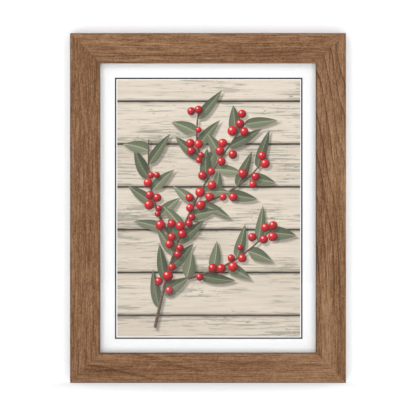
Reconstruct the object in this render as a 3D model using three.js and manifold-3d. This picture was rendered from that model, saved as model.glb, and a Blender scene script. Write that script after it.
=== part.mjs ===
// A wooden picture frame, upright, seen from the front along +Y, in millimetres with +Z up.
// Its origin is the middle of the underside of the bottom rail, halfway through the moulding.

import * as THREE from 'three';
import { mergeVertices } from 'three/addons/utils/BufferGeometryUtils.js';
import Module from 'manifold-3d';

const wasm = await Module();
wasm.setup();

// The three sheets in the rebate are cut to one size
const SHEET_WIDTH = 226;
const SHEET_HEIGHT = 300;
const GLASS_THICKNESS = 2;
const GLASS_SEAM = 0.3;
const PRINT_THICKNESS = 0.3;
const BOARD_THICKNESS = 3;
const SHEET_CLEARANCE = 1;
const STACK_GAP = 0.2;

// The moulding, from its outer edge to the sight edge and from its front to its back
const FACE_WIDTH = 30;
const MOULDING_DEPTH = 15;
const REBATE_WIDTH = 6;
const FRONT_EDGE_RADIUS = 0.8;
const BACK_EDGE_RADIUS = 0.5;
const MITRE_GAP = 0.1;

// V nails that hold each mitre, driven in from the back
const NAIL_WING = 6;
const NAIL_SHEET = 0.6;
const NAIL_HEIGHT = 7;
const NAIL_SUNK = 0.4;
const NAIL_EDGE_MARGIN = 2.5;
const OUTER_NAIL_INSET = 6;
const NAIL_CLEARANCE = 0.2;

// Turn buttons, two on the back of each side, and the screws that they turn on
const BUTTON_END_INSET = 40;
const BUTTON_WIDTH = 9;
const BUTTON_THICKNESS = 1.2;
const BUTTON_PIVOT_INSET = 8;
const BUTTON_OVERLAP = 7;
const BUTTON_LIP_LENGTH = 3;
const BUTTON_LIP_RISE = 1.6;
const SCREW_RADIUS = 1.5;
const SCREW_LENGTH = 9.5;
const SCREW_TIP = 2;
const SCREW_HEAD_RIM = 0.6;
const SCREW_HEAD_RADIUS = 2.9;
const SCREW_HEAD_HEIGHT = 1.8;
const SCREW_SLOT_LENGTH = 3;
const SCREW_SLOT_WIDTH = 0.8;
const SCREW_SLOT_DEPTH = 0.9;

// Toothed hanging plates on the top rail and the left stile
const HANGER_LENGTH = 46;
const HANGER_WIDTH = 10;
const HANGER_SHEET = 0.8;
const HANGER_RAISE = 2.2;
const HANGER_RAMP = 2.5;
const HANGER_FOOT = 9;
const HANGER_CORNER = 2;
const TOOTH_COUNT = 8;
const TOOTH_PITCH = 2.6;
const TOOTH_DEPTH = 1.6;
const HANGER_NAIL_RADIUS = 0.8;
const HANGER_NAIL_LENGTH = 9;
const HANGER_NAIL_TIP = 1.8;
const HANGER_NAIL_HEAD_RADIUS = 2.1;
const HANGER_NAIL_HEAD_HEIGHT = 0.7;
const HANGER_NAIL_HEAD_RIM = 0.3;

// The easel leg and its hinge
const HINGE_HEIGHT = 215;
const HINGE_WIDTH = 34;
const HINGE_SHEET = 0.8;
const HINGE_CORNER = 3;
const BOARD_LEAF_HEIGHT = 20;
const LEG_LEAF_HEIGHT = 22;
const MIDDLE_KNUCKLE_WIDTH = 11;
const PIN_RADIUS = 1;
const PIN_HEAD_RADIUS = 1.6;
const PIN_HEAD_LENGTH = 0.7;
const PIN_HEAD_CHAMFER = 0.4;
const PIN_CLEARANCE = 0.1;
const STOP_TAIL_LENGTH = 5.5;
const STOP_TAIL_WIDTH = 8;
const LEG_OPENING = THREE.MathUtils.degToRad(25);
const LEG_THICKNESS = 3;
const LEG_TOP_WIDTH = 44;
const LEG_FOOT_WIDTH = 84;
const LEG_TOP_CORNER = 5;
const LEG_FOOT_CORNER = 8;
const LEG_EDGE_BEVEL = 0.4;
const LEG_FOOT_LIFT = 4;
const RIVET_PITCH = 20;
const RIVET_RADIUS = 1.5;
const RIVET_HEAD_RADIUS = 3;
const RIVET_HEAD_HEIGHT = 1;
const RIVET_HEAD_RIM = 0.2;

// Clearances that every metal piece keeps
const SEAT_GAP = 0.2;
const HOLE_CLEARANCE = 0.25;
const SLIDE_GAP = 0.3;

// How finely round shapes are divided
const ROUND_STEPS = 24;
const ARC_STEPS = 4;
const MERGE_DISTANCE = 1e-4;

// Sizes that follow from the ones above
const rebateWidth = SHEET_WIDTH + 2 * SHEET_CLEARANCE;
const rebateHeight = SHEET_HEIGHT + 2 * SHEET_CLEARANCE;
const backWidth = FACE_WIDTH - REBATE_WIDTH;
const outerWidth = rebateWidth + 2 * backWidth;
const outerHeight = rebateHeight + 2 * backWidth;
const rebateDepth = GLASS_THICKNESS + PRINT_THICKNESS + BOARD_THICKNESS + 4 * STACK_GAP;
const lipThickness = MOULDING_DEPTH - rebateDepth;
const frontY = -MOULDING_DEPTH / 2;
const backY = MOULDING_DEPTH / 2;
const glassY = frontY + lipThickness + STACK_GAP;
const printY = glassY + GLASS_THICKNESS + STACK_GAP;
const boardY = printY + PRINT_THICKNESS + STACK_GAP;
const boardBackY = boardY + BOARD_THICKNESS;
const knuckleRadius = PIN_RADIUS + PIN_CLEARANCE + HINGE_SHEET;
const hingeLeafY = boardBackY + SEAT_GAP;
const hingeAxisY = hingeLeafY + knuckleRadius;

// Materials, one for each mesh
function material(color, roughness, metalness) {
  return new THREE.MeshStandardMaterial({ color, roughness, metalness });
}
const finishes = {
  wood: () => material(0x8a664b, 0.6, 0),
  glass: () => material(0xeef3f2, 0.05, 0),
  paper: () => material(0xf8f8f6, 0.8, 0),
  hardboard: () => material(0x7a5a3e, 0.75, 0),
  steel: () => material(0xb9bcbd, 0.35, 1),
};

// A closed geometry as a solid that can be cut and joined
function solidFrom(geometry) {
  const bare = new THREE.BufferGeometry();
  bare.setAttribute('position', geometry.getAttribute('position'));
  bare.setIndex(geometry.getIndex());
  const merged = mergeVertices(bare, MERGE_DISTANCE);
  const corners = merged.getIndex().array;
  const whole = [];
  for (let i = 0; i < corners.length; i += 3) {
    const [a, b, c] = corners.slice(i, i + 3);
    if (a !== b && b !== c && c !== a) whole.push(a, b, c);
  }
  const vertProperties = new Float32Array(merged.getAttribute('position').array);
  return new wasm.Manifold(new wasm.Mesh({ numProp: 3, vertProperties, triVerts: new Uint32Array(whole) }));
}

function geometryFrom(solid) {
  const mesh = solid.getMesh();
  const geometry = new THREE.BufferGeometry();
  geometry.setAttribute('position', new THREE.BufferAttribute(mesh.vertProperties, 3));
  geometry.setIndex(new THREE.BufferAttribute(mesh.triVerts, 1));
  geometry.computeVertexNormals();
  return geometry;
}

function cut(body, tools) {
  return geometryFrom(tools.reduce((rest, tool) => rest.subtract(solidFrom(tool)), solidFrom(body)));
}

function join(pieces) {
  return geometryFrom(pieces.map(solidFrom).reduce((whole, piece) => whole.add(piece)));
}

function common(first, second) {
  return geometryFrom(solidFrom(first).intersect(solidFrom(second)));
}

function named(name, geometry, finish) {
  const mesh = new THREE.Mesh(geometry, finish());
  mesh.name = name;
  return mesh;
}

// An outline drawn across X and up Z, thickened backwards along Y from zero
function plate(outline, thickness) {
  const options = { depth: thickness, bevelEnabled: false, curveSegments: ARC_STEPS };
  const geometry = new THREE.ExtrudeGeometry(outline, options);
  return geometry.rotateX(Math.PI / 2).translate(0, thickness, 0);
}

// The same with its edges bevelled on both faces
function bevelledPlate(outline, thickness, bevel) {
  const options = {
    depth: thickness - 2 * bevel,
    bevelThickness: bevel,
    bevelSize: bevel,
    bevelOffset: -bevel,
    bevelSegments: 1,
    curveSegments: ARC_STEPS,
  };
  const geometry = new THREE.ExtrudeGeometry(outline, options);
  return geometry.rotateX(Math.PI / 2).translate(0, thickness - bevel, 0);
}

// A side view drawn along Z and back along Y, widened evenly across X
function strip(sideView, width) {
  const geometry = new THREE.ExtrudeGeometry(sideView, { depth: width, bevelEnabled: false });
  return geometry.rotateY(-Math.PI / 2).translate(width / 2, 0, 0);
}

function outlineOf(points) {
  return new THREE.Shape(points.map(([x, z]) => new THREE.Vector2(x, z)));
}

function rectangle(width, height) {
  return outlineOf([
    [-width / 2, -height / 2],
    [width / 2, -height / 2],
    [width / 2, height / 2],
    [-width / 2, height / 2],
  ]);
}

// A rod along Y whose middle is at the given place
function rod(radius, length, x, y, z) {
  return new THREE.CylinderGeometry(radius, radius, length, ROUND_STEPS).translate(x, y, z);
}

// A rod along X through the origin
function crossRod(radius, length) {
  return new THREE.CylinderGeometry(radius, radius, length, ROUND_STEPS).rotateZ(Math.PI / 2);
}

function addRoundHole(outline, radius, x, z) {
  const hole = new THREE.Path();
  hole.absarc(x, z, radius, 0, 2 * Math.PI);
  outline.holes.push(hole);
}

// A headed pin along Y: its domed head stands behind zero, its shank reaches forward of it
function headedPin({ shank, length, tip, head, height, rim }) {
  const profile = new THREE.Path();
  profile.moveTo(0, -length);
  if (tip === 0) profile.lineTo(shank, -length);
  profile.lineTo(shank, tip - length);
  profile.lineTo(shank, 0);
  profile.lineTo(head, 0);
  profile.lineTo(head, rim);
  profile.quadraticCurveTo(head, height, 0, height);
  return new THREE.LatheGeometry(profile.getPoints(ARC_STEPS), ROUND_STEPS);
}

// Moulding

// The section, across from the outer edge and back from the front face
function mouldingSection() {
  const section = new THREE.Shape();
  const front = FRONT_EDGE_RADIUS;
  const back = BACK_EDGE_RADIUS;
  section.moveTo(front, 0);
  section.lineTo(FACE_WIDTH - front, 0);
  section.absarc(FACE_WIDTH - front, front, front, -Math.PI / 2, 0);
  section.lineTo(FACE_WIDTH, lipThickness);
  section.lineTo(backWidth, lipThickness);
  section.lineTo(backWidth, MOULDING_DEPTH);
  section.lineTo(back, MOULDING_DEPTH);
  section.absarc(back, MOULDING_DEPTH - back, back, Math.PI / 2, Math.PI);
  section.lineTo(0, front);
  section.absarc(front, front, front, Math.PI, Math.PI * 1.5);
  return section;
}

// A length along X with its outer edge at zero, both ends cut to the mitre
function mitredLength(length) {
  const options = { depth: 1, bevelEnabled: false, curveSegments: ARC_STEPS };
  const geometry = new THREE.ExtrudeGeometry(mouldingSection(), options);
  const place = geometry.getAttribute('position');
  for (let i = 0; i < place.count; i++) {
    const across = place.getX(i);
    const half = length / 2 - across - MITRE_GAP / Math.SQRT2;
    place.setXYZ(i, half * (1 - 2 * place.getZ(i)), frontY + place.getY(i), across);
  }
  return geometry;
}

// Two sheet wings at right angles from a corner on the mitre line, with room all round if asked
function nailWings(room) {
  const half = NAIL_SHEET / 2 + room;
  const end = NAIL_WING + room;
  const outline = outlineOf([
    [-half, -half],
    [end, -half],
    [end, half],
    [half, half],
    [half, end],
    [-half, end],
  ]);
  const height = NAIL_HEIGHT + room;
  const top = room > 0 ? NAIL_SUNK + height : height;
  return plate(outline, top).translate(0, backY - NAIL_SUNK - height, 0);
}

const nailInsets = [OUTER_NAIL_INSET, backWidth - NAIL_EDGE_MARGIN - NAIL_WING];
const pivotAcross = backWidth - BUTTON_PIVOT_INSET;
const buttonReach = BUTTON_PIVOT_INSET + SHEET_CLEARANCE + BUTTON_OVERLAP;
const screwSeatY = backY + SEAT_GAP + BUTTON_THICKNESS + SEAT_GAP;
const hangerAcross = backWidth / 2;
const hangerNailPlaces = [-1, 1].map((end) => (end * (HANGER_LENGTH - HANGER_FOOT)) / 2);
const hangerNailSeatY = backY + SEAT_GAP + HANGER_SHEET + SEAT_GAP;

// A hole from the back, deep enough for a fastener with the given seat and length
function pilotHole(shankRadius, seatY, length, x, z) {
  const bottom = seatY - length - HOLE_CLEARANCE;
  const depth = backY + SEAT_GAP - bottom;
  return rod(shankRadius + HOLE_CLEARANCE, depth, x, bottom + depth / 2, z);
}

// The two turn buttons of a side, set in from the ends of the sheets
function buttonPlaces(side) {
  const reach = side.sheet / 2 - BUTTON_END_INSET;
  return [-reach, reach];
}

function rail(side) {
  const tools = [];
  for (const inset of nailInsets) {
    const left = nailWings(NAIL_CLEARANCE).translate(inset - side.length / 2, 0, inset);
    const right = nailWings(NAIL_CLEARANCE).rotateY(-Math.PI / 2);
    tools.push(left, right.translate(side.length / 2 - inset, 0, inset));
  }
  for (const x of buttonPlaces(side)) {
    tools.push(pilotHole(SCREW_RADIUS, screwSeatY, SCREW_LENGTH, x, pivotAcross));
  }
  for (const x of side.hanger ? hangerNailPlaces : []) {
    tools.push(pilotHole(HANGER_NAIL_RADIUS, hangerNailSeatY, HANGER_NAIL_LENGTH, x, hangerAcross));
  }
  return named(side.name, cut(mitredLength(side.length), tools), finishes.wood);
}

function vNail(name, side, inset) {
  const nail = named(name, nailWings(0), finishes.steel);
  nail.position.set(inset - side.length / 2, 0, inset);
  return nail;
}

// Turn buttons

function buttonOutline() {
  const radius = BUTTON_WIDTH / 2;
  const outline = new THREE.Shape();
  outline.absarc(0, 0, radius, Math.PI, 2 * Math.PI);
  outline.absarc(0, buttonReach - radius, radius, 0, Math.PI);
  addRoundHole(outline, SCREW_RADIUS + HOLE_CLEARANCE, 0, 0);
  return outline;
}

// Seen from the side, a flat strip whose tip is turned up for the thumb
function buttonSideView() {
  const heel = -BUTTON_WIDTH;
  const bend = buttonReach - BUTTON_LIP_LENGTH;
  const tip = buttonReach + SLIDE_GAP;
  return outlineOf([
    [heel, 0],
    [bend, 0],
    [tip, BUTTON_LIP_RISE],
    [tip, BUTTON_LIP_RISE + BUTTON_THICKNESS],
    [bend, BUTTON_THICKNESS],
    [heel, BUTTON_THICKNESS],
  ]);
}

function turnButton(name, x) {
  const stack = BUTTON_LIP_RISE + BUTTON_THICKNESS;
  const shape = common(strip(buttonSideView(), BUTTON_WIDTH), plate(buttonOutline(), stack));
  const button = named(name, shape, finishes.steel);
  button.position.set(x, backY + SEAT_GAP, pivotAcross);
  return button;
}

function buttonScrew(name, x) {
  const pin = headedPin({
    shank: SCREW_RADIUS,
    length: SCREW_LENGTH,
    tip: SCREW_TIP,
    head: SCREW_HEAD_RADIUS,
    height: SCREW_HEAD_HEIGHT,
    rim: SCREW_HEAD_RIM,
  });
  const slot = new THREE.BoxGeometry(SCREW_SLOT_LENGTH, 2 * SCREW_SLOT_DEPTH, SCREW_SLOT_WIDTH);
  slot.translate(0, SCREW_HEAD_HEIGHT, 0);
  const shape = cut(pin, [slot, slot.clone().rotateY(Math.PI / 2)]);
  const screw = named(name, shape, finishes.steel);
  screw.position.set(x, screwSeatY, pivotAcross);
  return screw;
}

// Toothed hanging plates

// The plate from behind, its row of teeth on the edge that faces the sight opening
function hangerOutline() {
  const outline = new THREE.Shape();
  const end = HANGER_LENGTH / 2;
  const edge = HANGER_WIDTH / 2;
  const corner = HANGER_CORNER;
  const row = (TOOTH_COUNT * TOOTH_PITCH) / 2;
  outline.absarc(corner - end, corner - edge, corner, Math.PI, Math.PI * 1.5);
  outline.absarc(end - corner, corner - edge, corner, -Math.PI / 2, 0);
  outline.absarc(end - corner, edge - corner, corner, 0, Math.PI / 2);
  outline.lineTo(row, edge);
  for (let tooth = 0; tooth < TOOTH_COUNT; tooth++) {
    const start = row - tooth * TOOTH_PITCH;
    outline.lineTo(start - TOOTH_PITCH / 2, edge - TOOTH_DEPTH);
    outline.lineTo(start - TOOTH_PITCH, edge);
  }
  outline.absarc(corner - end, edge - corner, corner, Math.PI / 2, Math.PI);
  for (const x of hangerNailPlaces) addRoundHole(outline, HANGER_NAIL_RADIUS + HOLE_CLEARANCE, x, 0);
  return outline;
}

// Seen from its toothed edge, the plate stands off the wood between its two feet
function hangerSideView() {
  const end = HANGER_LENGTH / 2;
  const foot = end - HANGER_FOOT;
  const rise = foot - HANGER_RAMP;
  const steps = [
    [end, 0],
    [foot, 0],
    [rise, HANGER_RAISE],
    [-rise, HANGER_RAISE],
    [-foot, 0],
    [-end, 0],
  ];
  const over = steps.map(([x, y]) => [x, y + HANGER_SHEET]).reverse();
  return outlineOf([...steps, ...over]);
}

function sawtoothHanger(name) {
  const options = { depth: HANGER_WIDTH, bevelEnabled: false };
  const bent = new THREE.ExtrudeGeometry(hangerSideView(), options).translate(0, 0, -HANGER_WIDTH / 2);
  const shape = common(bent, plate(hangerOutline(), HANGER_RAISE + HANGER_SHEET));
  const hanger = named(name, shape, finishes.steel);
  hanger.position.set(0, backY + SEAT_GAP, hangerAcross);
  return hanger;
}

function hangerNail(name, x) {
  const shape = headedPin({
    shank: HANGER_NAIL_RADIUS,
    length: HANGER_NAIL_LENGTH,
    tip: HANGER_NAIL_TIP,
    head: HANGER_NAIL_HEAD_RADIUS,
    height: HANGER_NAIL_HEAD_HEIGHT,
    rim: HANGER_NAIL_HEAD_RIM,
  });
  const nail = named(name, shape, finishes.steel);
  nail.position.set(x, hangerNailSeatY, hangerAcross);
  return nail;
}

// Sheets in the rebate

function glassPane() {
  const pane = bevelledPlate(rectangle(SHEET_WIDTH, SHEET_HEIGHT), GLASS_THICKNESS, GLASS_SEAM);
  const glass = named('glass_pane', pane, finishes.glass);
  glass.position.y = glassY;
  return glass;
}

function insertPrint() {
  const sheet = plate(rectangle(SHEET_WIDTH, SHEET_HEIGHT), PRINT_THICKNESS);
  const print = named('insert_print', sheet, finishes.paper);
  print.position.y = printY;
  return print;
}

const rivetPlaces = [-RIVET_PITCH / 2, RIVET_PITCH / 2];
const boardRivetRise = knuckleRadius + (BOARD_LEAF_HEIGHT - knuckleRadius) / 2;
const legRivetDrop = knuckleRadius + (LEG_LEAF_HEIGHT - knuckleRadius) / 2;

function backBoard() {
  const outline = rectangle(SHEET_WIDTH, SHEET_HEIGHT);
  const rise = HINGE_HEIGHT - outerHeight / 2 + boardRivetRise;
  for (const x of rivetPlaces) addRoundHole(outline, RIVET_RADIUS + HOLE_CLEARANCE, x, rise);
  const board = named('back_board', plate(outline, BOARD_THICKNESS), finishes.hardboard);
  board.position.y = boardY;
  return board;
}

// Easel leg and hinge, with their zero on the hinge axis

const leafFront = -knuckleRadius;
const knuckleRoom = knuckleRadius + 2 * SLIDE_GAP;
const middleHalf = MIDDLE_KNUCKLE_WIDTH / 2;

// One turned eye of the hinge, with its bore
function knuckle(width, x) {
  return crossRod(knuckleRadius, width).translate(x, 0, 0);
}

function pinBore() {
  return crossRod(PIN_RADIUS + PIN_CLEARANCE, HINGE_WIDTH + SLIDE_GAP);
}

// The leaf on the board: two outer eyes, and a notch for the middle one
function boardHingeLeaf() {
  const side = HINGE_WIDTH / 2;
  const notch = middleHalf + SLIDE_GAP;
  const outline = new THREE.Shape();
  outline.moveTo(-side, 0);
  outline.lineTo(-notch, 0);
  outline.lineTo(-notch, knuckleRoom);
  outline.lineTo(notch, knuckleRoom);
  outline.lineTo(notch, 0);
  outline.lineTo(side, 0);
  outline.absarc(side - HINGE_CORNER, BOARD_LEAF_HEIGHT - HINGE_CORNER, HINGE_CORNER, 0, Math.PI / 2);
  outline.absarc(HINGE_CORNER - side, BOARD_LEAF_HEIGHT - HINGE_CORNER, HINGE_CORNER, Math.PI / 2, Math.PI);
  for (const x of rivetPlaces) addRoundHole(outline, RIVET_RADIUS + HOLE_CLEARANCE, x, boardRivetRise);
  const leaf = plate(outline, HINGE_SHEET).translate(0, leafFront, 0);
  const eyeWidth = side - notch;
  const eyes = [-1, 1].map((end) => knuckle(eyeWidth, (end * (side + notch)) / 2));
  return named('board_hinge_leaf', cut(join([leaf, ...eyes]), [pinBore()]), finishes.steel);
}

// The tail that meets the board's leaf when the leg is fully open
function stopTail() {
  const front = leafFront + HINGE_SHEET + SLIDE_GAP;
  const start = PIN_RADIUS + PIN_CLEARANCE + SLIDE_GAP;
  const length = knuckleRadius + STOP_TAIL_LENGTH - start;
  const tail = new THREE.BoxGeometry(STOP_TAIL_WIDTH, HINGE_SHEET, length);
  return tail.translate(0, front + HINGE_SHEET / 2, start + length / 2).rotateX(-LEG_OPENING);
}

// The leaf on the leg: one middle eye with the stop tail
function legHingeLeaf() {
  const side = HINGE_WIDTH / 2;
  const outline = new THREE.Shape();
  outline.moveTo(-middleHalf, 0);
  outline.lineTo(-middleHalf, -knuckleRoom);
  outline.lineTo(-side, -knuckleRoom);
  outline.absarc(HINGE_CORNER - side, HINGE_CORNER - LEG_LEAF_HEIGHT, HINGE_CORNER, Math.PI, Math.PI * 1.5);
  outline.absarc(side - HINGE_CORNER, HINGE_CORNER - LEG_LEAF_HEIGHT, HINGE_CORNER, -Math.PI / 2, 0);
  outline.lineTo(side, -knuckleRoom);
  outline.lineTo(middleHalf, -knuckleRoom);
  outline.lineTo(middleHalf, 0);
  for (const x of rivetPlaces) addRoundHole(outline, RIVET_RADIUS + HOLE_CLEARANCE, x, -legRivetDrop);
  const leaf = plate(outline, HINGE_SHEET).translate(0, leafFront, 0);
  const whole = join([leaf, knuckle(MIDDLE_KNUCKLE_WIDTH, 0), stopTail()]);
  return named('leg_hinge_leaf', cut(whole, [pinBore()]), finishes.steel);
}

function hingePin() {
  const shank = HINGE_WIDTH / 2 + SEAT_GAP;
  const end = shank + PIN_HEAD_LENGTH;
  const face = PIN_HEAD_RADIUS - PIN_HEAD_CHAMFER;
  const profile = outlineOf([
    [0, -end],
    [face, -end],
    [PIN_HEAD_RADIUS, PIN_HEAD_CHAMFER - end],
    [PIN_HEAD_RADIUS, -shank],
    [PIN_RADIUS, -shank],
    [PIN_RADIUS, shank],
    [PIN_HEAD_RADIUS, shank],
    [PIN_HEAD_RADIUS, end - PIN_HEAD_CHAMFER],
    [face, end],
    [0, end],
  ]);
  const pin = new THREE.LatheGeometry(profile.getPoints(), ROUND_STEPS).rotateZ(Math.PI / 2);
  return named('hinge_pin', pin, finishes.steel);
}

const legFrontY = leafFront + HINGE_SHEET + SEAT_GAP;

// A tapered strut that widens to its foot
function easelLeg() {
  const top = -knuckleRoom;
  const foot = LEG_FOOT_LIFT - HINGE_HEIGHT;
  const topHalf = LEG_TOP_WIDTH / 2;
  const footHalf = LEG_FOOT_WIDTH / 2;
  const lean = Math.atan2(footHalf - topHalf, top - foot);
  const outline = new THREE.Shape();
  const footSwing = Math.tan(Math.PI / 4 + lean / 2) * LEG_FOOT_CORNER;
  const topSwing = Math.tan(Math.PI / 4 - lean / 2) * LEG_TOP_CORNER;
  const footX = footHalf - footSwing;
  const topX = topHalf - topSwing;
  outline.absarc(footX, foot + LEG_FOOT_CORNER, LEG_FOOT_CORNER, -Math.PI / 2, lean);
  outline.absarc(topX, top - LEG_TOP_CORNER, LEG_TOP_CORNER, lean, Math.PI / 2);
  outline.absarc(-topX, top - LEG_TOP_CORNER, LEG_TOP_CORNER, Math.PI / 2, Math.PI - lean);
  outline.absarc(-footX, foot + LEG_FOOT_CORNER, LEG_FOOT_CORNER, Math.PI - lean, Math.PI * 1.5);
  for (const x of rivetPlaces) addRoundHole(outline, RIVET_RADIUS + HOLE_CLEARANCE, x, -legRivetDrop);
  const leg = named('easel_leg', bevelledPlate(outline, LEG_THICKNESS, LEG_EDGE_BEVEL), finishes.hardboard);
  leg.position.y = legFrontY;
  return leg;
}

function rivet(name, length, x, y, z) {
  const shape = headedPin({
    shank: RIVET_RADIUS,
    length,
    tip: 0,
    head: RIVET_HEAD_RADIUS,
    height: RIVET_HEAD_HEIGHT,
    rim: RIVET_HEAD_RIM,
  });
  const pin = named(name, shape, finishes.steel);
  pin.position.set(x, y, z);
  return pin;
}

function easel() {
  const group = new THREE.Group();
  group.position.set(0, hingeAxisY, HINGE_HEIGHT);
  group.add(boardHingeLeaf(), legHingeLeaf(), hingePin(), easelLeg());
  const boardSeat = leafFront + HINGE_SHEET + SEAT_GAP;
  const boardGrip = boardSeat + hingeAxisY - boardY;
  const legSeat = legFrontY + LEG_THICKNESS + SEAT_GAP;
  const legGrip = legSeat - leafFront;
  ['left', 'right'].forEach((end, i) => {
    group.add(rivet('board_rivet_' + end, boardGrip, rivetPlaces[i], boardSeat, boardRivetRise));
    group.add(rivet('leg_rivet_' + end, legGrip, rivetPlaces[i], legSeat, -legRivetDrop));
  });
  return group;
}

// The four sides, each built as the bottom one and turned about the middle of the frame
const level = { length: outerWidth, across: outerHeight, sheet: SHEET_WIDTH };
const upright = { length: outerHeight, across: outerWidth, sheet: SHEET_HEIGHT };
const sides = [
  { name: 'bottom_rail', at: 'bottom', corner: 'bottom_left', ...level },
  { name: 'left_stile', at: 'left', corner: 'top_left', hanger: true, ...upright },
  { name: 'top_rail', at: 'top', corner: 'top_right', hanger: true, ...level },
  { name: 'right_stile', at: 'right', corner: 'bottom_right', ...upright },
];

function sideGroup(side, quarterTurns) {
  const pieces = new THREE.Group();
  pieces.position.z = -side.across / 2;
  pieces.add(rail(side));
  nailInsets.forEach((inset, i) => {
    pieces.add(vNail(`v_nail_${side.corner}_${i + 1}`, side, inset));
  });
  buttonPlaces(side).forEach((x, i) => {
    pieces.add(turnButton(`turn_button_${side.at}_${i + 1}`, x));
    pieces.add(buttonScrew(`button_screw_${side.at}_${i + 1}`, x));
  });
  if (side.hanger) {
    pieces.add(sawtoothHanger(`sawtooth_hanger_${side.at}`));
    hangerNailPlaces.forEach((x, i) => {
      pieces.add(hangerNail(`hanger_nail_${side.at}_${i + 1}`, x));
    });
  }
  const turned = new THREE.Group();
  turned.rotation.y = (quarterTurns * Math.PI) / 2;
  turned.add(pieces);
  return turned;
}

const middle = new THREE.Group();
middle.position.z = outerHeight / 2;
sides.forEach((side, i) => middle.add(sideGroup(side, i)));
middle.add(glassPane(), insertPrint(), backBoard());

const pictureFrame = new THREE.Group();
pictureFrame.add(middle, easel());

export default pictureFrame;
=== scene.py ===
"""Looks of a wooden picture frame: stained moulding, glass, a printed sheet, hardboard and steel."""
import math
from typing import NamedTuple

import bmesh
import bpy
from mathutils import Matrix, Vector


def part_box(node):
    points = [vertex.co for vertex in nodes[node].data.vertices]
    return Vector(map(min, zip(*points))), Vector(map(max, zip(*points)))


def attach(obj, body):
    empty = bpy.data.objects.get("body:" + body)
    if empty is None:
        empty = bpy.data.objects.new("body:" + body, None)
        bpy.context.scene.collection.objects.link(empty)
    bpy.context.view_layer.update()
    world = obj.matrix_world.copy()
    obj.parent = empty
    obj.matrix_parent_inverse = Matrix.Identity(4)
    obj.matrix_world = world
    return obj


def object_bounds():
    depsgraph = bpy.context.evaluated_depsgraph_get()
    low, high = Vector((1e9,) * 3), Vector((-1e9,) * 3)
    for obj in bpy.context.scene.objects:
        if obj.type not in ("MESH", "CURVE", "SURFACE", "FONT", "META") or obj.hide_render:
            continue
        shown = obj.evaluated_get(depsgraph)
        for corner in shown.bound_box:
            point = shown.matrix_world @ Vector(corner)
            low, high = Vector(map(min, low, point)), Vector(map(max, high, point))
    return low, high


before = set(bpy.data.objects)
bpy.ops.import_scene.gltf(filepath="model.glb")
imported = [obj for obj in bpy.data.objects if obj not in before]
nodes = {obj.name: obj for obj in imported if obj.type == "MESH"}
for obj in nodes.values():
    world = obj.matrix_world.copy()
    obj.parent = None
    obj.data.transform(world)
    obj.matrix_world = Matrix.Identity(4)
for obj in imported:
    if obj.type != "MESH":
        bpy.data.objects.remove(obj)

cad_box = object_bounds()

# Lengths are in metres, but those of grain, print and other patterns are in millimetres
MM = 0.001
PER_MM = 1000.0
QUARTER_TURN = math.radians(90)

# Camera, straight on and far away
PICTURE_SPAN = 416.1 * MM
CAMERA_DISTANCE = 3.0
SENSOR_WIDTH = 36.0

# The printed sheet, from its middle outwards
PRINT_SHIFT = (0.7, -0.3)
KEYLINE_HALF_WIDTH = 93.45
KEYLINE_HALF_HEIGHT = 130.4
KEYLINE_THICKNESS = 1.5
PICTURE_HALF_WIDTH = 91.8
PICTURE_HALF_HEIGHT = 128.8
PLANK_HEIGHT = 43.0
PLANK_JOINT = 1.2
PLANK_SHADE = 4.0

# Corners of the moulding, read from its lower and right lengths
lower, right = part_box("bottom_rail"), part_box("right_stile")
front_y, back_y = lower[0].y, lower[1].y
middle = Vector((0.0, 0.0, (right[0].z + right[1].z) / 2))
outer_corner = Vector((right[1].x, 0.0, right[1].z))
sight_corner = Vector((right[0].x, 0.0, right[1].z - (lower[1].z - lower[0].z)))


# Shader nodes

SOCKETS = {"VALUE": "NodeSocketFloat", "VECTOR": "NodeSocketVector", "RGBA": "NodeSocketColor"}


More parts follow.
